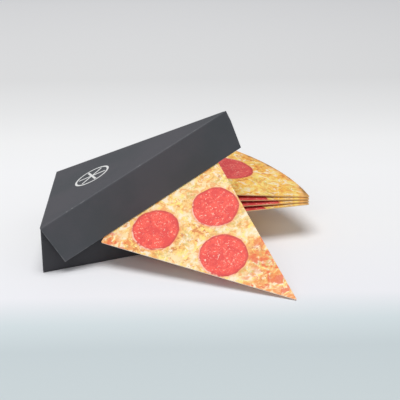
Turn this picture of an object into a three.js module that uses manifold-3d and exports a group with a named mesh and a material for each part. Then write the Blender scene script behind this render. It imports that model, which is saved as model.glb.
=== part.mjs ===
// Pizza slice box: a folded card tray and a hinged lid, both three-sided, with the flat
// printed card slices that it holds. Millimetres, +Z up. The origin is on the table under
// the middle of the tray's floor, the crust wall is towards -X and the box's point is +X.
import * as THREE from 'three';
import { mergeVertices } from 'three/addons/utils/BufferGeometryUtils.js';
import Module from 'manifold-3d';

const wasm = await Module();
wasm.setup();

// Box sizes
const LENGTH = 200;          // crust wall to point, over the lid
const WIDTH = 166;           // across the crust end, over the lid's flaps
const CARD = 0.8;            // thickness of the box card
const FOLD = 1.6;            // outer radius of a folded edge
const CRUST_WALL = 44.6;     // height of the wall at the crust end
const SIDE_WALL = 33;        // height of the tray's two side walls
const FLAP = 41;             // depth of the lid's two side flaps
const FLAP_END_CUT = 4.2;    // how far a flap's lower edge stands back at the crust end
const FLAP_POINT_CUT = 4;    // and at the point
const GLUE_TAB = 14;         // width of the glue tabs
const TAB_DROP = 0.6;        // the crust wall's tabs end this far below its top
const LID_FIT = 0.5;         // play between a flap and the side wall inside it
const CREASE_GAP = 0.4;      // between the crust wall's top edge and the lid
const LID_OPEN = 26.4;       // degrees, how far the slices hold the lid open

// Slice sizes
const SLICE_LENGTH = 196;    // point to crust edge
const SLICE_ANGLE = 44.4;    // degrees
const SLICE_CARD = 1.0;      // thickness
const SLICE_CORNER = 1.2;   // rounding of the two crust corners
const SLICE_POINT = 0.5;     // rounding of the point
const REST_GAP = 0.4;        // between a slice and what it rests on

// The front slice leans from the table over the near side wall, under the near flap
const FRONT_FALL = 25.9;     // degrees, its slope away from the flap's lower edge
const FRONT_TUCK = 5.2;      // degrees of it that reach past its seat on the wall

// The rear slices are fanned, and the lowest lies flat on both side walls
const REAR_COUNT = 4;
const REAR_REACH = 64.6;     // its crust corner stands this far past the box's point
const REAR_SIDE = -0.4;      // and this far to the side
const REAR_HEADING = 36.45;  // degrees, its middle line seen from above
const FAN_TURN = -1.49;      // degrees from one slice to the next, seen from above
const FAN_STEP = new THREE.Vector2(0.58, 3.46);
const FAN_LIFT = 2.5;        // degrees that each slice rises over the one below
const FAN_HINGE = 66;        // degrees, heading of the line about which they rise

const rad = THREE.MathUtils.degToRad;
const CRUST_X = -LENGTH / 3;
const SIDE_ANGLE = Math.atan(WIDTH / 2 / LENGTH);
const LID_TOP = CREASE_GAP + CARD;
const BIG = 3 * LENGTH;

// Half the box's width at a distance from the crust end, inside faces set in by inset
function halfWidth(along, inset) {
  return (WIDTH / 2) * (1 - along / LENGTH) - inset / Math.cos(SIDE_ANGLE);
}

// Distance from the crust end to the point of the outline set in by inset
function pointAt(inset) {
  return LENGTH * (1 - inset / Math.cos(SIDE_ANGLE) / (WIDTH / 2));
}

// A closed outline whose corners are rounded, from its corners in order
function roundedShape(corners, radii) {
  const points = [];
  corners.forEach((corner, i) => {
    const before = corners.at(i - 1).clone().sub(corner).normalize();
    const after = corners[(i + 1) % corners.length].clone().sub(corner).normalize();
    const half = before.angleTo(after) / 2;
    const middle = before.clone().add(after).normalize();
    const centre = corner.clone().addScaledVector(middle, radii[i] / Math.sin(half));
    const start = corner.clone().addScaledVector(before, radii[i] / Math.tan(half)).sub(centre);
    const end = corner.clone().addScaledVector(after, radii[i] / Math.tan(half)).sub(centre);
    const turn = Math.atan2(start.cross(end), start.dot(end));
    for (let step = 0; step <= 4; step += 1) {
      points.push(start.clone().rotateAround(new THREE.Vector2(), (turn * step) / 4).add(centre));
    }
  });
  return new THREE.Shape(points);
}

// A closed mesh as a solid that can be joined and cut
function toSolid(geometry) {
  const bare = geometry.clone();
  bare.deleteAttribute('normal');
  bare.deleteAttribute('uv');
  const merged = mergeVertices(bare, 1e-5);
  const mesh = new wasm.Mesh({
    numProp: 3,
    vertProperties: new Float32Array(merged.attributes.position.array),
    triVerts: new Uint32Array(merged.index.array),
  });
  return new wasm.Manifold(mesh);
}

function toGeometry(solid) {
  const mesh = solid.getMesh();
  const geometry = new THREE.BufferGeometry();
  geometry.setAttribute('position', new THREE.BufferAttribute(mesh.vertProperties, 3));
  geometry.setIndex(new THREE.BufferAttribute(mesh.triVerts, 1));
  geometry.computeVertexNormals();
  return geometry;
}

// An upright prism of the box's outline, with its lower edges rounded by fold
function boxPrism(inset, crustEnd, fold, bottom, top) {
  const shape = roundedShape(
    [
      new THREE.Vector2(crustEnd, halfWidth(crustEnd, inset)),
      new THREE.Vector2(crustEnd, -halfWidth(crustEnd, inset)),
      new THREE.Vector2(pointAt(inset), 0),
    ],
    [fold, fold, fold],
  );
  const geometry = new THREE.ExtrudeGeometry(shape, {
    depth: top - bottom - 2 * fold,
    bevelThickness: fold,
    bevelSize: fold * 0.9,
    bevelOffset: -fold * 0.9,
    bevelSegments: 3,
  });
  geometry.translate(0, 0, bottom + fold);
  return toSolid(geometry);
}

// A slab with an outline drawn in X and Z, cut right through across the box
function crossCutter(points) {
  const geometry = new THREE.ExtrudeGeometry(new THREE.Shape(points), { depth: BIG, bevelEnabled: false });
  geometry.rotateX(Math.PI / 2);
  geometry.translate(0, BIG / 2, 0);
  return toSolid(geometry);
}

// A glue tab that lies flat on the inside of a side panel, near the point
function pointTab(inset, low, high) {
  const start = pointAt(inset) - GLUE_TAB;
  const shape = new THREE.Shape([
    new THREE.Vector2(start, halfWidth(start, inset - CARD / 2)),
    new THREE.Vector2(start, halfWidth(start, inset + CARD)),
    new THREE.Vector2(pointAt(inset + CARD), 0),
    new THREE.Vector2(pointAt(inset - CARD / 2), 0),
  ]);
  const geometry = new THREE.ExtrudeGeometry(shape, { depth: high - low, bevelEnabled: false });
  geometry.translate(0, 0, low);
  return toSolid(geometry);
}

// A glue tab folded from the crust wall, flat on the inside of a side wall
function crustTab(side, inset, low, high) {
  const corner = (along, depth) => new THREE.Vector2(along, side * halfWidth(along, depth));
  const shape = new THREE.Shape([
    corner(CARD / 2, inset - CARD / 2),
    corner(CARD / 2, inset + CARD),
    corner(GLUE_TAB, inset + CARD),
    corner(GLUE_TAB, inset - CARD / 2),
  ]);
  const geometry = new THREE.ExtrudeGeometry(shape, { depth: high - low, bevelEnabled: false });
  geometry.translate(0, 0, low);
  return toSolid(geometry);
}

// Tray: floor, crust wall, two side walls, and the glue tabs inside its corners
function makeTray() {
  const outer = LID_FIT + CARD;
  const inner = outer + CARD;
  let tray = boxPrism(outer, 0, FOLD, 0, CRUST_WALL + 2 * FOLD);
  tray = tray.subtract(boxPrism(inner, CARD, FOLD - CARD, CARD, CRUST_WALL + 4 * FOLD));
  tray = tray.add(pointTab(inner, CARD / 2, SIDE_WALL - 1));
  tray = tray.subtract(
    crossCutter([
      new THREE.Vector2(-BIG, CRUST_WALL),
      new THREE.Vector2(CARD, CRUST_WALL),
      new THREE.Vector2(CARD, SIDE_WALL),
      new THREE.Vector2(BIG, SIDE_WALL),
      new THREE.Vector2(BIG, BIG),
      new THREE.Vector2(-BIG, BIG),
    ]),
  );
  for (const side of [-1, 1]) {
    tray = tray.add(crustTab(side, inner, CARD / 2, CRUST_WALL - TAB_DROP));
  }
  return toGeometry(tray).translate(CRUST_X, 0, 0);
}

// Lid, drawn shut with its crease on the Y axis: top panel, two flaps and a glue tab
function makeLid() {
  const low = LID_TOP - FLAP;
  let lid = boxPrism(0, -4 * FOLD, FOLD, -LID_TOP, FLAP + 3 * FOLD);
  lid = lid.subtract(boxPrism(CARD, -8 * FOLD, FOLD - CARD, CARD - LID_TOP, FLAP + 6 * FOLD));
  lid = lid.add(pointTab(CARD, CARD / 2 - LID_TOP, FLAP - LID_TOP - 2));
  lid = lid.rotate([180, 0, 0]);
  lid = lid.subtract(
    crossCutter([
      new THREE.Vector2(-BIG, low),
      new THREE.Vector2(-BIG, -BIG),
      new THREE.Vector2(BIG, -BIG),
      new THREE.Vector2(BIG, LID_TOP - FOLD),
      new THREE.Vector2(pointAt(0), LID_TOP - FOLD),
      new THREE.Vector2(pointAt(0) - FLAP_POINT_CUT, low),
    ]),
  );
  lid = lid.subtract(
    crossCutter([
      new THREE.Vector2(-BIG, BIG),
      new THREE.Vector2(-BIG, low - 1),
      new THREE.Vector2(FLAP_END_CUT, low - 1),
      new THREE.Vector2(FLAP_END_CUT, low),
      new THREE.Vector2(CREASE_GAP, LID_TOP - CARD),
      new THREE.Vector2(CREASE_GAP, BIG),
    ]),
  );
  return toGeometry(lid);
}

// Flat sector along +X, with its top face at Z = 0
function makeSlice() {
  const half = rad(SLICE_ANGLE / 2);
  const points = [];
  const tipCentre = SLICE_POINT / Math.sin(half);
  for (let step = -3; step <= 3; step += 1) {
    const turn = Math.PI + ((Math.PI / 2 - half) * step) / 3;
    points.push(new THREE.Vector2(tipCentre + SLICE_POINT * Math.cos(turn), SLICE_POINT * Math.sin(turn)));
  }
  const reach = SLICE_LENGTH - SLICE_CORNER;
  const swing = half - Math.asin(SLICE_CORNER / reach);
  for (const side of [-1, 1]) {
    const centre = new THREE.Vector2(reach * Math.cos(swing), side * reach * Math.sin(swing));
    const corner = [];
    for (let step = 0; step <= 4; step += 1) {
      const turn = side * (swing + ((Math.PI / 2 + half - swing) * step) / 4);
      corner.push(new THREE.Vector2(SLICE_CORNER * Math.cos(turn), SLICE_CORNER * Math.sin(turn)).add(centre));
    }
    points.push(...(side < 0 ? corner.reverse() : corner));
    if (side < 0) {
      for (let step = 1; step < 24; step += 1) {
        const turn = swing * (step / 12 - 1);
        points.push(new THREE.Vector2(SLICE_LENGTH * Math.cos(turn), SLICE_LENGTH * Math.sin(turn)));
      }
    }
  }
  const geometry = new THREE.ExtrudeGeometry(new THREE.Shape(points), { depth: SLICE_CARD, bevelEnabled: false });
  return geometry.translate(0, 0, -SLICE_CARD);
}

// The inner lower edge of one of the lid's flaps, as two points in the open pose
function flapEdge(side) {
  const ends = [FLAP_END_CUT, pointAt(0) - FLAP_POINT_CUT];
  return ends.map((along) => {
    const point = new THREE.Vector3(along, side * halfWidth(along, CARD), LID_TOP - FLAP);
    point.applyAxisAngle(new THREE.Vector3(0, -1, 0), rad(LID_OPEN));
    return point.add(new THREE.Vector3(CRUST_X, 0, CRUST_WALL));
  });
}

// Place of the front slice: its plane lies just under the near flap's lower edge, it rests
// on the top edge of the near side wall, and its point is on the table
function frontPlace() {
  const [low, high] = flapEdge(-1);
  const edge = high.clone().sub(low).normalize();
  const level = new THREE.Vector3(edge.y, -edge.x, 0).normalize();
  const under = new THREE.Vector3().crossVectors(edge, level);
  const fall = level.multiplyScalar(Math.cos(rad(FRONT_FALL)));
  fall.addScaledVector(under, Math.sin(rad(FRONT_FALL)) * Math.sign(-under.z));
  const up = new THREE.Vector3().crossVectors(fall, edge).normalize();
  up.multiplyScalar(Math.sign(up.z));
  const top = new THREE.Plane().setFromNormalAndCoplanarPoint(up, low.clone().addScaledVector(up, -REST_GAP));
  const heightAt = (x, y) => -(top.constant + up.x * x + up.y * y) / up.z;
  const drop = SLICE_CARD / up.z;

  // Seat on the wall's outer top edge, found along the wall's straight line
  const inset = LID_FIT + CARD;
  const wall = (along) => [CRUST_X + along, -halfWidth(along, inset)];
  const rise = (heightAt(...wall(LENGTH)) - heightAt(...wall(0))) / LENGTH;
  const along = (SIDE_WALL + REST_GAP + drop - heightAt(...wall(0))) / rise;
  const seat = new THREE.Vector3(...wall(along), SIDE_WALL + REST_GAP + drop);

  // Line where the underside meets the table, and the point on it that lies one slice's
  // length from the seat
  const run = new THREE.Vector3(up.y, -up.x, 0).normalize();
  const foot = seat.clone();
  const slope = new THREE.Vector3(up.x, up.y, 0);
  foot.addScaledVector(slope, (heightAt(seat.x, seat.y) - drop) * up.z / slope.lengthSq());
  foot.z = drop;
  const offset = foot.clone().sub(seat);
  const back = offset.dot(run);
  const reach = Math.sqrt(back * back - offset.lengthSq() + (SLICE_LENGTH + REST_GAP) ** 2);
  run.multiplyScalar(Math.sign(run.x));
  const point = foot.addScaledVector(run, reach - offset.dot(run));

  const middle = seat.clone().sub(point).normalize();
  middle.applyAxisAngle(up, -rad(SLICE_ANGLE / 2 - FRONT_TUCK));
  const side = new THREE.Vector3().crossVectors(up, middle);
  return new THREE.Matrix4().makeBasis(middle, side, up).setPosition(point);
}

// Place of a rear slice: the lowest is level on the walls, and each next one is turned,
// stepped back and raised about a line through its crust corner
function rearPlace(index) {
  const heading = rad(REAR_HEADING + FAN_TURN * index);
  const corner = new THREE.Vector3(
    CRUST_X + LENGTH + REAR_REACH + FAN_STEP.x * index,
    REAR_SIDE + FAN_STEP.y * index,
    SIDE_WALL + REST_GAP + SLICE_CARD + (SLICE_CARD + REST_GAP) * index,
  );
  const hinge = new THREE.Vector3(Math.cos(rad(FAN_HINGE)), Math.sin(rad(FAN_HINGE)), 0);
  const nearEdge = heading - rad(SLICE_ANGLE / 2);
  const place = new THREE.Matrix4().makeTranslation(corner);
  place.multiply(new THREE.Matrix4().makeRotationAxis(hinge, rad(FAN_LIFT * index)));
  place.multiply(new THREE.Matrix4().makeTranslation(
    -SLICE_LENGTH * Math.cos(nearEdge),
    -SLICE_LENGTH * Math.sin(nearEdge),
    0,
  ));
  return place.multiply(new THREE.Matrix4().makeRotationZ(heading));
}

const trayCard = new THREE.MeshStandardMaterial({ color: 0x3b3c40, roughness: 0.7, metalness: 0 });
const lidCard = new THREE.MeshStandardMaterial({ color: 0x4b4c50, roughness: 0.7, metalness: 0 });
const frontPrint = new THREE.MeshStandardMaterial({ color: 0xf2c887, roughness: 0.5, metalness: 0 });
const rearPrint = new THREE.MeshStandardMaterial({ color: 0xf0bf62, roughness: 0.5, metalness: 0 });

const pizzaBox = new THREE.Group();

function addMesh(parent, name, geometry, material) {
  const mesh = new THREE.Mesh(geometry, material);
  mesh.name = name;
  parent.add(mesh);
  return mesh;
}

addMesh(pizzaBox, 'base_tray', makeTray(), trayCard);

const crease = new THREE.Group();
crease.position.set(CRUST_X, 0, CRUST_WALL);
crease.rotation.y = -rad(LID_OPEN);
pizzaBox.add(crease);
addMesh(crease, 'lid', makeLid(), lidCard);

const frontSlice = addMesh(pizzaBox, 'front_slice', makeSlice(), frontPrint);
frontSlice.applyMatrix4(frontPlace());

for (let index = 0; index < REAR_COUNT; index += 1) {
  const slice = addMesh(pizzaBox, `rear_slice_${index + 1}`, makeSlice(), rearPrint);
  slice.applyMatrix4(rearPlace(index));
}

export default pizzaBox;
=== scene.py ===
# %% [markdown]
# # A pizza slice box with printed card slices
#
# The real object is a small charcoal carton in the shape of one pizza slice. Its lid
# stands open, and five flat cards printed as pepperoni pizza come out of both sides.
#
# The carton and the cards arrive as a fixed frame of solids whose shapes are already
# right, so this lesson is about their finishes: carton board with a charcoal print and
# worn folds, and a satin print on pale card. Everything is drawn by nodes, in metres.

# %% Load the frame
import math

import bpy
from mathutils import Matrix, Vector

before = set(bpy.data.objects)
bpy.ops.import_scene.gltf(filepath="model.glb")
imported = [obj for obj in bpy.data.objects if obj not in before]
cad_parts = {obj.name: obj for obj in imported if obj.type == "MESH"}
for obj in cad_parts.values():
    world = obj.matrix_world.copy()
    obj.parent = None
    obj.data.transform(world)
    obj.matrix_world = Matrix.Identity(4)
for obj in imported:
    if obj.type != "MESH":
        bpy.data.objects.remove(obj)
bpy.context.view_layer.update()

print("nodes:", sorted(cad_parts))

# %% [markdown]
# ## The camera
#
# The photograph was taken from a little above, almost square to one long side of the box.
# A camera can be turned by hand until it fits, but its direction was solved from the
# box's corners, so here it is only placed and aimed.

# %% Place and aim the camera
CAMERA_PLACE = (0.0423360, -0.8841708, 0.3697215)
CAMERA_AIM = (0.0881733, 0.0497000, 0.0220000)
SENSOR = 36.0            # millimetres across
PICTURE_WIDTH = 400      # pixels across the photograph
FOCAL_PIXELS = 927.88    # its focal length, in the same pixels
LENS = SENSOR * FOCAL_PIXELS / PICTURE_WIDTH
FARTHEST_VIEW = 50       # metres, so that the floor isn't cut off


def facing(place, aim):
    """The turn of a camera or a lamp, which both look along their own -Z."""
    return (Vector(aim) - Vector(place)).to_track_quat("-Z", "Y").to_euler()


camera_data = bpy.data.cameras.new("camera")
camera_data.sensor_width = SENSOR
camera_data.lens = LENS
camera_data.clip_end = FARTHEST_VIEW
camera = bpy.data.objects.new("camera", camera_data)
camera.location = CAMERA_PLACE
camera.rotation_euler = facing(CAMERA_PLACE, CAMERA_AIM)
bpy.context.scene.collection.objects.link(camera)
bpy.context.scene.camera = camera
print("lens in mm:", round(LENS, 2))

# %% [markdown]
# ## Small helpers for nodes
#
# A material is a chain of small sums. These helpers add one node each and return its
# output, so that a finish below reads like a recipe. A number is set on the node itself,
# and an output of another node is linked.


# %% Helpers that add up numbers and places
def feed(tree, socket, value):
    """Links an output to a socket, or sets a plain value on it."""
    if isinstance(value, bpy.types.NodeSocket):
        tree.links.new(value, socket)
    elif isinstance(value, (int, float)):
        socket.default_value = value
    else:
        value = tuple(value)
        wanted = len(socket.default_value)
        socket.default_value = value + (1.0,) * (wanted - len(value))


def sum_of(tree, operation, a, b=0.0, c=0.0, clamp=False):
    """One sum of up to three numbers."""
    node = tree.nodes.new("ShaderNodeMath")
    node.operation = operation
    node.use_clamp = clamp
    for socket, value in zip(node.inputs, (a, b, c)):
        feed(tree, socket, value)
    return node.outputs[0]


def product(tree, a, b):
    """A times b: the part of one mask that lies in the other, or a weaker mask."""
    return sum_of(tree, "MULTIPLY", a, b)


def vector_sum(tree, operation, a, b=(0, 0, 0), scale=None):
    """One sum of places, which gives a place, or a number for a length or a dot product."""
    node = tree.nodes.new("ShaderNodeVectorMath")
    node.operation = operation
    feed(tree, node.inputs[0], a)
    if operation not in ("LENGTH", "SCALE"):
        feed(tree, node.inputs[1], b)
    if scale is not None:
        feed(tree, node.inputs["Scale"], scale)
    gives_number = operation in ("LENGTH", "DOT_PRODUCT")
    return node.outputs["Value" if gives_number else "Vector"]


def along_axis(tree, place, axis):
    """One coordinate of a place: X, Y or Z."""
    node = tree.nodes.new("ShaderNodeSeparateXYZ")
    feed(tree, node.inputs[0], place)
    return node.outputs[axis]


print("number helpers ready")


# %% Helpers that make masks, patterns and colours
def soft_step(tree, value, low, high):
    """0 below low, 1 above high, smooth between; low may be the larger one."""
    node = tree.nodes.new("ShaderNodeMapRange")
    node.interpolation_type = "SMOOTHSTEP"
    if low > high:
        low, high, ends = high, low, (1.0, 0.0)
    else:
        ends = (0.0, 1.0)
    feed(tree, node.inputs["Value"], value)
    feed(tree, node.inputs["From Min"], low)
    feed(tree, node.inputs["From Max"], high)
    feed(tree, node.inputs["To Min"], ends[0])
    feed(tree, node.inputs["To Max"], ends[1])
    return node.outputs[0]


def noise(tree, place, scale, detail=3.0, rough=0.55, twist=0.0):
    """A cloudy pattern of about scale spots to the metre."""
    node = tree.nodes.new("ShaderNodeTexNoise")
    feed(tree, node.inputs["Vector"], place)
    feed(tree, node.inputs["Scale"], scale)
    feed(tree, node.inputs["Detail"], detail)
    feed(tree, node.inputs["Roughness"], rough)
    feed(tree, node.inputs["Distortion"], twist)
    return node.outputs["Fac"]


def blend_colours(tree, share, under, over):
    """From one colour to another, as share goes from 0 to 1."""
    node = tree.nodes.new("ShaderNodeMix")
    node.data_type = "RGBA"
    feed(tree, node.inputs[0], share)
    feed(tree, node.inputs[6], under)
    feed(tree, node.inputs[7], over)
    return node.outputs[2]


def lay_ink(tree, under, ink, mask, strength):
    """Prints an ink over a colour where the mask says, never stronger than strength."""
    return blend_colours(tree, product(tree, mask, strength), under, ink)


def shade(red, green, blue):
    """A colour as a paint tool shows it, 0 to 255, made linear for the shader."""
    def linear(value):
        value /= 255
        return value / 12.92 if value <= 0.04045 else ((value + 0.055) / 1.055) ** 2.4
    return (linear(red), linear(green), linear(blue), 1.0)


print("pattern helpers ready")


# %% Helpers that start a finish and lay it on a piece
def new_finish(name):
    """A new material: itself, its tree, its shader and the object's coordinates."""
    material = bpy.data.materials.new(name)
    material.use_nodes = True
    tree = material.node_tree
    shader = tree.nodes["Principled BSDF"]
    place = tree.nodes.new("ShaderNodeTexCoord").outputs["Object"]
    return material, tree, shader, place


def centred(tree, place, origin, x_axis, z_axis):
    """Turns the object's coordinates into a flat piece's own: along, across and up."""
    x_axis, z_axis = Vector(x_axis).normalized(), Vector(z_axis).normalized()
    turn = Matrix((x_axis, z_axis.cross(x_axis), z_axis))
    node = tree.nodes.new("ShaderNodeMapping")
    node.inputs["Location"].default_value = -(turn @ Vector(origin))
    node.inputs["Rotation"].default_value = turn.to_euler("XYZ")
    feed(tree, node.inputs["Vector"], place)
    return node.outputs["Vector"]


def roughen(tree, shader, height, strength, depth):
    """Gives the surface a slight relief, depth metres deep."""
    bump = tree.nodes.new("ShaderNodeBump")
    bump.inputs["Strength"].default_value = strength
    bump.inputs["Distance"].default_value = depth
    feed(tree, bump.inputs["Height"], height)
    feed(tree, shader.inputs["Normal"], bump.outputs[0])


def dress(node_name, material):
    """Gives a finished solid its material, through its own slot."""
    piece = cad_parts[node_name]
    piece.data.materials.clear()
    piece.data.materials.append(material)
    print(node_name, "has", material.name)


print("finish helpers ready")

# %% [markdown]
# ## The floor
#
# The ground is one pale sheet. A large plane paints its change of tone into its colour,
# from front to back, as painted light and shade: bluish grey close by, almost white under
# the box and grey far away. It catches the object's soft shadow too.

# %% Lay the floor and tint it from front to back
FLOOR_SIZE = 16.0
# Painted light and shade: the floor's tone from front to back, as a place along Y and a colour.
FLOOR_PAINTED_LIGHT_TONES = [
    (-0.330, (203, 212, 214)), (-0.230, (199, 209, 212)), (-0.185, (212, 222, 225)),
    (-0.135, (239, 239, 243)), (0.000, (243, 243, 244)), (0.210, (247, 247, 248)),
    (0.340, (246, 246, 246)), (0.500, (238, 238, 238)), (0.720, (231, 231, 231)),
    (1.600, (246, 246, 247)),
]
near_end, far_end = FLOOR_PAINTED_LIGHT_TONES[0][0], FLOOR_PAINTED_LIGHT_TONES[-1][0]
bpy.ops.object.select_all(action="DESELECT")
bpy.ops.mesh.primitive_plane_add(size=FLOOR_SIZE, location=(0, 0, 0))
floor = bpy.context.object
floor.name = "floor"
floor_paper, tree, shader, place = new_finish("pale_floor_paper_painted_light")
depth = tree.nodes.new("ShaderNodeMapRange")
feed(tree, depth.inputs["Value"], along_axis(tree, place, "Y"))
feed(tree, depth.inputs["From Min"], near_end)
feed(tree, depth.inputs["From Max"], far_end)
ramp = tree.nodes.new("ShaderNodeValToRGB")
stops = ramp.color_ramp.elements
for number, (where, tone) in enumerate(FLOOR_PAINTED_LIGHT_TONES):
    share = (where - near_end) / (far_end - near_end)
    stop = stops[number] if number < 2 else stops.new(share)    # a ramp starts with two
    stop.position = share
    stop.color = shade(*tone)
feed(tree, ramp.inputs[0], depth.outputs[0])
feed(tree, shader.inputs["Base Color"], ramp.outputs[0])
shader.inputs["Roughness"].default_value = 0.9
shader.inputs["Specular IOR Level"].default_value = 0.1
floor.data.materials.append(floor_paper)
print("floor tones:", len(FLOOR_PAINTED_LIGHT_TONES))

# %% [markdown]
# ## The light
#
# One wide soft lamp overhead and an even pale surround make the soft shadow that lies
# close under the leaning slice. A weaker lamp, low in front, lights the flap and the
# prints that face the camera. A surround alone would be flatter, and a small lamp would
# draw a hard edge that the photograph doesn't have.


# %% Hang the lamps
def soft_lamp(name, place, aim, size, power):
    """A round area lamp, size metres across and power watts strong."""
    lamp = bpy.data.lights.new(name, "AREA")
    lamp.shape = "DISK"
    lamp.size = size
    lamp.energy = power
    hung = bpy.data.objects.new(name, lamp)
    hung.location = place
    hung.rotation_euler = facing(place, aim)
    bpy.context.scene.collection.objects.link(hung)


soft_lamp("overhead_lamp", place=(-0.2, -0.2, 3.0), aim=(0.05, 0.3, 0.0), size=2.2, power=64.0)
soft_lamp("front_lamp", place=(-0.6, -3.0, 1.5), aim=(0.05, 0.0, 0.03), size=1.8, power=25.0)
world = bpy.data.worlds.new("pale_room")
bpy.context.scene.world = world
world.use_nodes = True
surround = world.node_tree.nodes["Background"]
surround.inputs["Color"].default_value = shade(236, 238, 241)
surround.inputs["Strength"].default_value = 0.34
bpy.context.scene.view_settings.view_transform = "Standard"

# %% [markdown]
# ## Charcoal carton board
#
# The box is white board with a matt charcoal print. Close up it has a fine fibre grain
# and faint clouds. Along a fold the print is rubbed a little paler, and here and there it
# is worn through. Along a cut the core shows in a broken grey line. Both are found from
# the distance to each fold and cut, which stays sharp at any zoom and needs no painted
# image.


# %% Distance to the folds and cuts
def nearest_line(tree, place, lines):
    """The distance from each point to the nearest of some straight lines."""
    nearest = None
    for start, end in lines:
        start, end = Vector(start), Vector(end)
        run = end - start
        offset = vector_sum(tree, "SUBTRACT", place, start)
        share = sum_of(tree, "DIVIDE", vector_sum(tree, "DOT_PRODUCT", offset, run),
                       run.length_squared, clamp=True)
        foot = vector_sum(tree, "SCALE", run, scale=share)
        gap = vector_sum(tree, "LENGTH", vector_sum(tree, "SUBTRACT", offset, foot))
        nearest = gap if nearest is None else sum_of(tree, "MINIMUM", nearest, gap)
    return nearest


def both_sides(lines):
    """The same lines again, mirrored to the far side of the box."""
    mirrored = [tuple((x, -y, z) for x, y, z in line) for line in lines]
    return lines + mirrored


print("line finder ready")

# %% The charcoal board itself
RUBBED_GREY = shade(98, 99, 105)
WORN_GREY = shade(168, 168, 168)
CORE_GREY = shade(128, 128, 129)
RUBBED_BAND = (0.0022, 0.0004)    # metres from a fold: where it starts, where it is full
WORN_BAND = (0.0011, 0.0002)
BARE_BAND = (0.0007, 0.0002)      # the same from a cut


def charcoal_board(name, own_place, tones, folds, cuts):
    """Matt charcoal board with worn folds and paler cuts.

    own_place is the piece's origin, X and Z directions, and tones are the charcoal, its
    clouds and its grain.
    """
    material, tree, shader, place = new_finish(name)
    place = centred(tree, place, *own_place)
    clouds = noise(tree, place, 12, detail=5, rough=0.6)
    grain = noise(tree, place, 1500, detail=2, rough=0.7)
    patchy = noise(tree, place, 190, detail=5, rough=0.7)
    coarse = noise(tree, place, 38, detail=2)
    colour = blend_colours(tree, soft_step(tree, clouds, 0.38, 0.62), tones[0], tones[1])
    colour = lay_ink(tree, colour, tones[2], grain, 0.30)

    fold_gap = nearest_line(tree, place, folds)
    rubbed = soft_step(tree, fold_gap, *RUBBED_BAND)
    worn = product(tree, soft_step(tree, fold_gap, *WORN_BAND),
                   soft_step(tree, patchy, 0.50, 0.66))
    worn = product(tree, worn, soft_step(tree, coarse, 0.48, 0.62))
    bare = product(tree, soft_step(tree, nearest_line(tree, place, cuts), *BARE_BAND),
                   soft_step(tree, patchy, 0.36, 0.60))
    colour = lay_ink(tree, colour, RUBBED_GREY, rubbed, 0.10)
    colour = lay_ink(tree, colour, WORN_GREY, worn, 0.55)
    colour = lay_ink(tree, colour, CORE_GREY, bare, 0.45)

    feed(tree, shader.inputs["Base Color"], colour)
    feed(tree, shader.inputs["Roughness"], sum_of(tree, "MULTIPLY_ADD", clouds, 0.16, 0.50))
    shader.inputs["Specular IOR Level"].default_value = 0.35
    height = sum_of(tree, "ADD", product(tree, grain, 0.7), patchy)
    roughen(tree, shader, height, strength=0.25, depth=0.00012)
    return material, tree, shader, place, colour


print("worn band in mm:", round(WORN_BAND[0] * 1000, 2))

# %% [markdown]
# ## The tray's folds
#
# The tray is folded up from one sheet: long folds round its floor, upright folds at the
# crust end, and cut edges along the tops of its walls. Its charcoal is painted darker than
# the lid's: painted shade for the shade that the flap and the slices cast on it.

# %% Dress the tray
# Painted shade: the same board as the lid, made darker to stand in for the shade on the tray.
TRAY_TONES_PAINTED_SHADE = (shade(47, 47, 51), shade(54, 54, 58), shade(66, 66, 70))
AS_IT_STANDS = ((0, 0, 0), (1, 0, 0), (0, 0, 1))
CRUST_END = -0.0667      # the outside of the crust wall
TRAY_HALF = 0.0808       # half the tray's width there
TRAY_POINT = 0.1289
CORNER = (CRUST_END, -TRAY_HALF, 0.0)
FLOOR_FOLD = [(CORNER, (TRAY_POINT, 0.0, 0.0))]
UPRIGHT_FOLD = [(CORNER, (CRUST_END, -TRAY_HALF, 0.0440))]
WALL_CUT = [((-0.0660, -0.0806, 0.0330), (TRAY_POINT, 0.0, 0.0330))]
CRUST_FOLD = [(CORNER, (CRUST_END, TRAY_HALF, 0.0))]
CRUST_TOP = [((CRUST_END, -0.0800, 0.0446), (CRUST_END, 0.0800, 0.0446))]
tray_folds = both_sides(FLOOR_FOLD + UPRIGHT_FOLD) + CRUST_FOLD + CRUST_TOP
tray_board = charcoal_board("tray_charcoal_board_painted_shade", AS_IT_STANDS, TRAY_TONES_PAINTED_SHADE,
                            tray_folds, both_sides(WALL_CUT))[0]
dress("base_tray", tray_board)
print("tray folds:", len(tray_folds))

# %% [markdown]
# ## The lid's folds and its plain printed ring
#
# The lid leans on the slices, so its lines are written in its own directions: along it
# from the crease, across it and up from its face. The mark printed near its crust end is
# a plain thin ring cut in six, as a round pizza is.

# %% The lid's board
LID_TONES = (shade(70, 73, 77), shade(80, 79, 84), shade(92, 92, 97))
LID_PLACE = ((-0.0666667, 0, 0.0446), (0.8957118, 0, 0.4446352), (-0.4446352, 0, 0.8957118))
LID_CORNER = (0.0004, -0.0828, 0.0012)
FLAP_CORNER = (0.0046, -0.0811, -0.0398)
LID_FOLD = [(LID_CORNER, (0.1985, -0.0006, 0.0012))]
LID_CREASE = [(LID_CORNER, (0.0004, 0.0828, 0.0012))]
POINT_FOLD = [((0.1985, 0.0, 0.0012), (0.1960, 0.0, -0.0398))]
FLAP_CUT = [(FLAP_CORNER, (0.1960, -0.0017, -0.0398)), (LID_CORNER, FLAP_CORNER)]
lid_folds = both_sides(LID_FOLD) + LID_CREASE + POINT_FOLD
lid_board, tree, shader, place, colour = charcoal_board(
    "lid_charcoal_board", LID_PLACE, LID_TONES, lid_folds, both_sides(FLAP_CUT))
print("lid folds:", len(lid_folds))

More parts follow.
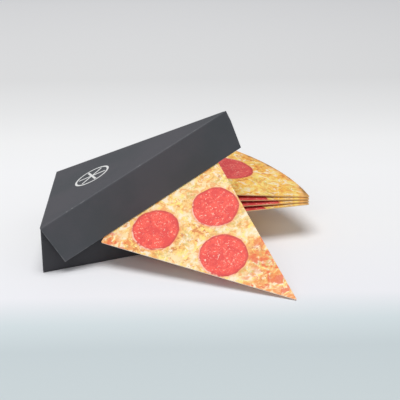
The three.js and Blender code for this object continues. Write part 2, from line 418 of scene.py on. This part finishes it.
# %% Print the ring on the lid
RING_PLACE = (0.0495, 0.0020)    # along and across the lid
RING_SIZE = 0.0180               # radius
LINE = 0.0014                    # half a line's width, with its soft edge
INK_EDGE = LINE * 0.6            # where the ink is full
CUTS = 6
WEDGE = math.radians(60)
FIRST_CUT = 0.2                  # radians, the turn of the first cut
INK_WHITE = shade(232, 232, 230)
along = sum_of(tree, "SUBTRACT", along_axis(tree, place, "X"), RING_PLACE[0])
across = sum_of(tree, "SUBTRACT", along_axis(tree, place, "Y"), RING_PLACE[1])
reach = sum_of(tree, "SQRT", sum_of(tree, "ADD", product(tree, along, along),
                                    product(tree, across, across)))
off_ring = sum_of(tree, "ABSOLUTE", sum_of(tree, "SUBTRACT", reach, RING_SIZE))
ring_line = soft_step(tree, off_ring, LINE, INK_EDGE)
turn = sum_of(tree, "ADD", sum_of(tree, "ARCTAN2", across, along), WEDGE * CUTS + FIRST_CUT)
off_cut = product(tree, sum_of(tree, "PINGPONG", turn, WEDGE / 2), reach)
within = soft_step(tree, reach, RING_SIZE * 0.86, RING_SIZE * 0.84)
cut_line = product(tree, soft_step(tree, off_cut, LINE, INK_EDGE), within)
on_top = soft_step(tree, along_axis(tree, place, "Z"), 0.0, 0.0006)
ink = product(tree, sum_of(tree, "MAXIMUM", ring_line, cut_line), on_top)
feed(tree, shader.inputs["Base Color"], blend_colours(tree, ink, colour, INK_WHITE))
dress("lid", lid_board)
print("ring in mm:", round(RING_SIZE * 2000, 1))

# %% [markdown]
# ## The pizza print
#
# Each slice is a flat card, about 1 mm thick, printed on both faces, so only its cut
# edges stay pale. Nothing stands up from the card: what looks like melted
# cheese and pepperoni is ink. So the picture is built from layers of noise in the slice's
# own directions, measured from its point, as a printer lays inks over each other: pale
# cheese, yellow and orange melt, toasted specks, green herb, sauce at the rim, and then
# the rounds.

# %% The cheese's inks
CREAM = (shade(250, 222, 172), shade(255, 222, 120))     # pale slice, warm slice
GOLDEN = (shade(246, 198, 116), shade(254, 194, 74))     # the same
LEMON = shade(254, 226, 116)
MILKY = shade(252, 234, 206)
BAKED = shade(238, 158, 76)
HERB = shade(196, 174, 78)
TOAST = shade(212, 112, 42)
PEPPER = shade(146, 104, 52)
THIN_SAUCE = shade(240, 134, 56)
THICK_SAUCE = shade(230, 92, 38)
print("cream, linear:", [round(v, 3) for v in CREAM[0][:3]])


# %% Cheese, sauce and toasted specks
def cheese_print(tree, place, warm, sauce_lines):
    """The printed cheese. warm moves it from cream to deep yellow."""
    melt = noise(tree, place, 46, detail=5, rough=0.66, twist=0.8)
    shreds = noise(tree, place, 118, detail=3, rough=0.64, twist=0.9)
    strands = noise(tree, place, 135, detail=2, rough=0.6, twist=0.7)
    specks = noise(tree, place, 250, detail=3, rough=0.66)
    broad = noise(tree, place, 27, detail=3, rough=0.6)
    pools = noise(tree, place, 110, detail=4, rough=0.62, twist=0.6)

    cream = blend_colours(tree, warm, *CREAM)
    golden = blend_colours(tree, warm, *GOLDEN)
    colour = blend_colours(tree, soft_step(tree, melt, 0.44, 0.58), cream, golden)
    colour = lay_ink(tree, colour, LEMON, soft_step(tree, strands, 0.54, 0.62), 0.80)
    colour = lay_ink(tree, colour, MILKY, soft_step(tree, shreds, 0.54, 0.62), 0.85)
    colour = lay_ink(tree, colour, BAKED, soft_step(tree, shreds, 0.46, 0.38), 0.80)
    herb = product(tree, soft_step(tree, broad, 0.48, 0.60), soft_step(tree, specks, 0.46, 0.58))
    colour = lay_ink(tree, colour, HERB, herb, 0.60)
    toast = product(tree, soft_step(tree, melt, 0.53, 0.64), soft_step(tree, specks, 0.48, 0.56))
    colour = lay_ink(tree, colour, TOAST, toast, 0.85)
    colour = lay_ink(tree, colour, PEPPER, soft_step(tree, specks, 0.37, 0.30), 0.65)

    rim = sum_of(tree, "MULTIPLY_ADD", broad, -0.030, nearest_line(tree, place, sauce_lines))
    near_rim = soft_step(tree, rim, 0.010, -0.006)
    thin = product(tree, near_rim, soft_step(tree, shreds, 0.54, 0.46))
    colour = lay_ink(tree, colour, THIN_SAUCE, thin, 0.65)
    thick = product(tree, near_rim, soft_step(tree, pools, 0.50, 0.58))
    return lay_ink(tree, colour, THICK_SAUCE, thick, 0.85)


print("cheese layers ready")


# %% Distance to the rounds of pepperoni
def nearest_round(tree, place, rounds, shift):
    """The distance to the edge of the nearest round, below zero inside it."""
    nearest = None
    for along, across, size in rounds:
        from_middle = vector_sum(tree, "SUBTRACT", place, (along, across + shift, 0))
        flat = vector_sum(tree, "MULTIPLY", from_middle, (1, 1, 0))
        gap = sum_of(tree, "SUBTRACT", vector_sum(tree, "LENGTH", flat), size)
        nearest = gap if nearest is None else sum_of(tree, "MINIMUM", nearest, gap)
    return nearest


print("round finder ready")

# %% Rounds of pepperoni
FLECK = shade(255, 190, 160)
FAT = shade(255, 222, 198)
GLINT = shade(255, 212, 184)
OILY = shade(240, 140, 84)
GLINT_SHIFT = -0.0016    # how far across the slice a round's lit edge is shifted


def pepperoni_print(tree, place, colour, rounds, reds):
    """Lays the rounds over the cheese: a darker rim, a mottled red and fatty flecks.

    rounds are (along, across, radius), and reds are the red, its clouds, its dark spots
    and its rim.
    """
    edge_wave = noise(tree, place, 75, detail=2)
    spots = noise(tree, place, 430, detail=4, rough=0.72)
    clouds = noise(tree, place, 80, detail=5, rough=0.66, twist=1.2)
    streaks = noise(tree, place, 170, detail=3, rough=0.6, twist=3.0)
    wave = sum_of(tree, "MULTIPLY_ADD", edge_wave, 0.0036, -0.0018)
    inside = sum_of(tree, "ADD", nearest_round(tree, place, rounds, 0.0), wave)
    set_back = sum_of(tree, "ADD", nearest_round(tree, place, rounds, GLINT_SHIFT), wave)

    fill = blend_colours(tree, soft_step(tree, clouds, 0.40, 0.60), reds[0], reds[1])
    fill = lay_ink(tree, fill, reds[2], soft_step(tree, spots, 0.42, 0.32), 0.7)
    flecks = product(tree, soft_step(tree, spots, 0.575, 0.63),
                     soft_step(tree, clouds, 0.42, 0.56))
    fill = lay_ink(tree, fill, FLECK, flecks, 0.85)
    fat = product(tree, soft_step(tree, streaks, 0.62, 0.67),
                  soft_step(tree, inside, -0.0020, -0.0050))
    fill = lay_ink(tree, fill, FAT, fat, 0.80)
    fill = lay_ink(tree, fill, reds[3], soft_step(tree, inside, -0.0030, -0.0004), 0.60)
    glint = product(tree, soft_step(tree, set_back, -0.0003, 0.0005),
                    soft_step(tree, clouds, 0.40, 0.54))
    fill = lay_ink(tree, fill, GLINT, glint, 0.75)

    colour = lay_ink(tree, colour, OILY, soft_step(tree, inside, 0.0030, 0.0), 0.45)
    return blend_colours(tree, soft_step(tree, inside, 0.0003, -0.0003), colour, fill)


print("pepperoni layers ready")

# %% [markdown]
# ## The whole card
#
# The crust end of the print is toasted: an uneven golden band along the arc, with brown
# and olive patches at its rim. Both faces carry the print, which throws a warm tint on
# the ground below, and between them the cut edge shows the card's core, white on the
# front slice and cream on the rear ones.

# %% The slices' sizes and straight sides
SLICE_LENGTH = 0.196
HALF_ANGLE = math.radians(22.2)
CARD = 0.0010            # thickness


def slice_side(sign, start=0.0, end=SLICE_LENGTH):
    """A straight edge of a slice in its own directions, from its point to its arc."""
    way = Vector((math.cos(HALF_ANGLE), sign * math.sin(HALF_ANGLE), 0))
    return (tuple(way * start), tuple(way * end))


print("slice in mm:", SLICE_LENGTH * 1000)

# %% The whole card: print, pale core and satin varnish
GOLDEN_CRUST = shade(240, 156, 84)
BROWN_CRUST = shade(142, 100, 44)


def printed_card(name, own_place, rounds, warm, sauce_lines, reds, core_tones):
    """A flat card at own_place (origin, X and Z), printed on both faces."""
    material, tree, shader, place = new_finish(name)
    place = centred(tree, place, *own_place)
    uneven = noise(tree, place, 42, detail=4)
    fibre = noise(tree, place, 1300, detail=2)

    colour = cheese_print(tree, place, warm, sauce_lines)
    from_point = vector_sum(tree, "LENGTH", vector_sum(tree, "MULTIPLY", place, (1, 1, 0)))
    crust = sum_of(tree, "MULTIPLY_ADD", uneven, 0.032, from_point)
    golden = soft_step(tree, crust, SLICE_LENGTH + 0.0070, SLICE_LENGTH + 0.0150)
    colour = lay_ink(tree, colour, GOLDEN_CRUST, golden, 0.60)
    brown = soft_step(tree, crust, SLICE_LENGTH + 0.0140, SLICE_LENGTH + 0.0190)
    colour = lay_ink(tree, colour, BROWN_CRUST, brown, 0.85)
    colour = pepperoni_print(tree, place, colour, rounds, reds)

    core = blend_colours(tree, fibre, *core_tones)
    depth = sum_of(tree, "ADD", along_axis(tree, place, "Z"), CARD / 2)
    printed = soft_step(tree, sum_of(tree, "ABSOLUTE", depth), CARD * 0.40, CARD * 0.44)
    feed(tree, shader.inputs["Base Color"], blend_colours(tree, printed, core, colour))
    feed(tree, shader.inputs["Roughness"], sum_of(tree, "MULTIPLY_ADD", fibre, 0.12, 0.42))
    shader.inputs["Specular IOR Level"].default_value = 0.4
    roughen(tree, shader, fibre, strength=0.15, depth=0.00008)
    return material


print("card in mm:", CARD * 1000)

# %% Print the front slice
ROUND = 0.0229           # radius of a pepperoni round
BRIGHT_RED = (shade(230, 54, 46), shade(246, 76, 58), shade(170, 32, 30), shade(182, 46, 34))
WHITE_CORE = (shade(228, 220, 210), shade(246, 240, 232))
FRONT_WARM = 0.12
FRONT_PLACE = ((0.1641130, -0.1514522, 0.0012192),
               (-0.6741963, 0.6645029, 0.3223280), (-0.1515695, -0.5516321, 0.8202004))
FRONT_ROUNDS = [(0.1514, 0.0302, ROUND), (0.1257, -0.0251, ROUND), (0.0823, 0.0090, ROUND)]
FRONT_SAUCE = [slice_side(-1, 0.0, 0.060), slice_side(1, 0.0, 0.034),
               slice_side(1, 0.188, SLICE_LENGTH)]
front_print = printed_card("front_pizza_print", FRONT_PLACE, FRONT_ROUNDS, FRONT_WARM,
                           FRONT_SAUCE, BRIGHT_RED, WHITE_CORE)
dress("front_slice", front_print)

# %% Print the rear slices
BIG_ROUND = 0.0310       # the round at the edge of the top slice is larger
DEEP_RED = (shade(214, 66, 68), shade(228, 84, 80), shade(164, 42, 46), shade(176, 52, 48))
CREAM_CORE = (shade(226, 190, 132), shade(244, 214, 160))
REAR_WARM = 0.85
REAR_SAUCE = [slice_side(1, 0.10)]
REAR_PLACES = {
    "rear_slice_1": ((0.0079641, -0.0486460, 0.0344000), (0.8043756, 0.5941211, 0.0), (0, 0, 1)),
    "rear_slice_2": ((0.0074903, -0.0402908, 0.0426493),
                     (0.8191039, 0.5732040, -0.0224917), (0.0398483, -0.0177416, 0.9990482)),
    "rear_slice_3": ((0.0074291, -0.0320325, 0.0511469),
                     (0.8323053, 0.5523326, -0.0468672), (0.0796207, -0.0354494, 0.9961947)),
    "rear_slice_4": ((0.0077950, -0.0238805, 0.0598642),
                     (0.8438604, 0.5315700, -0.0730271), (0.1192416, -0.0530898, 0.9914449)),
}
HIDDEN_ROUNDS = [(0.1517, 0.0290, ROUND), (0.0824, 0.0083, ROUND)]
REAR_ROUNDS = {
    "rear_slice_1": [(0.1160, -0.0472, ROUND)] + HIDDEN_ROUNDS,
    "rear_slice_2": [(0.1330, -0.0488, ROUND)] + HIDDEN_ROUNDS,
    "rear_slice_3": [(0.1200, -0.0440, ROUND)] + HIDDEN_ROUNDS,
    "rear_slice_4": [(0.1412, 0.0212, BIG_ROUND), (0.0820, -0.0080, ROUND)],
}
for node_name, rear_place in REAR_PLACES.items():
    rear_print = printed_card(
        node_name + "_pizza_print", rear_place, REAR_ROUNDS[node_name], REAR_WARM,
        REAR_SAUCE, DEEP_RED, CREAM_CORE)
    dress(node_name, rear_print)
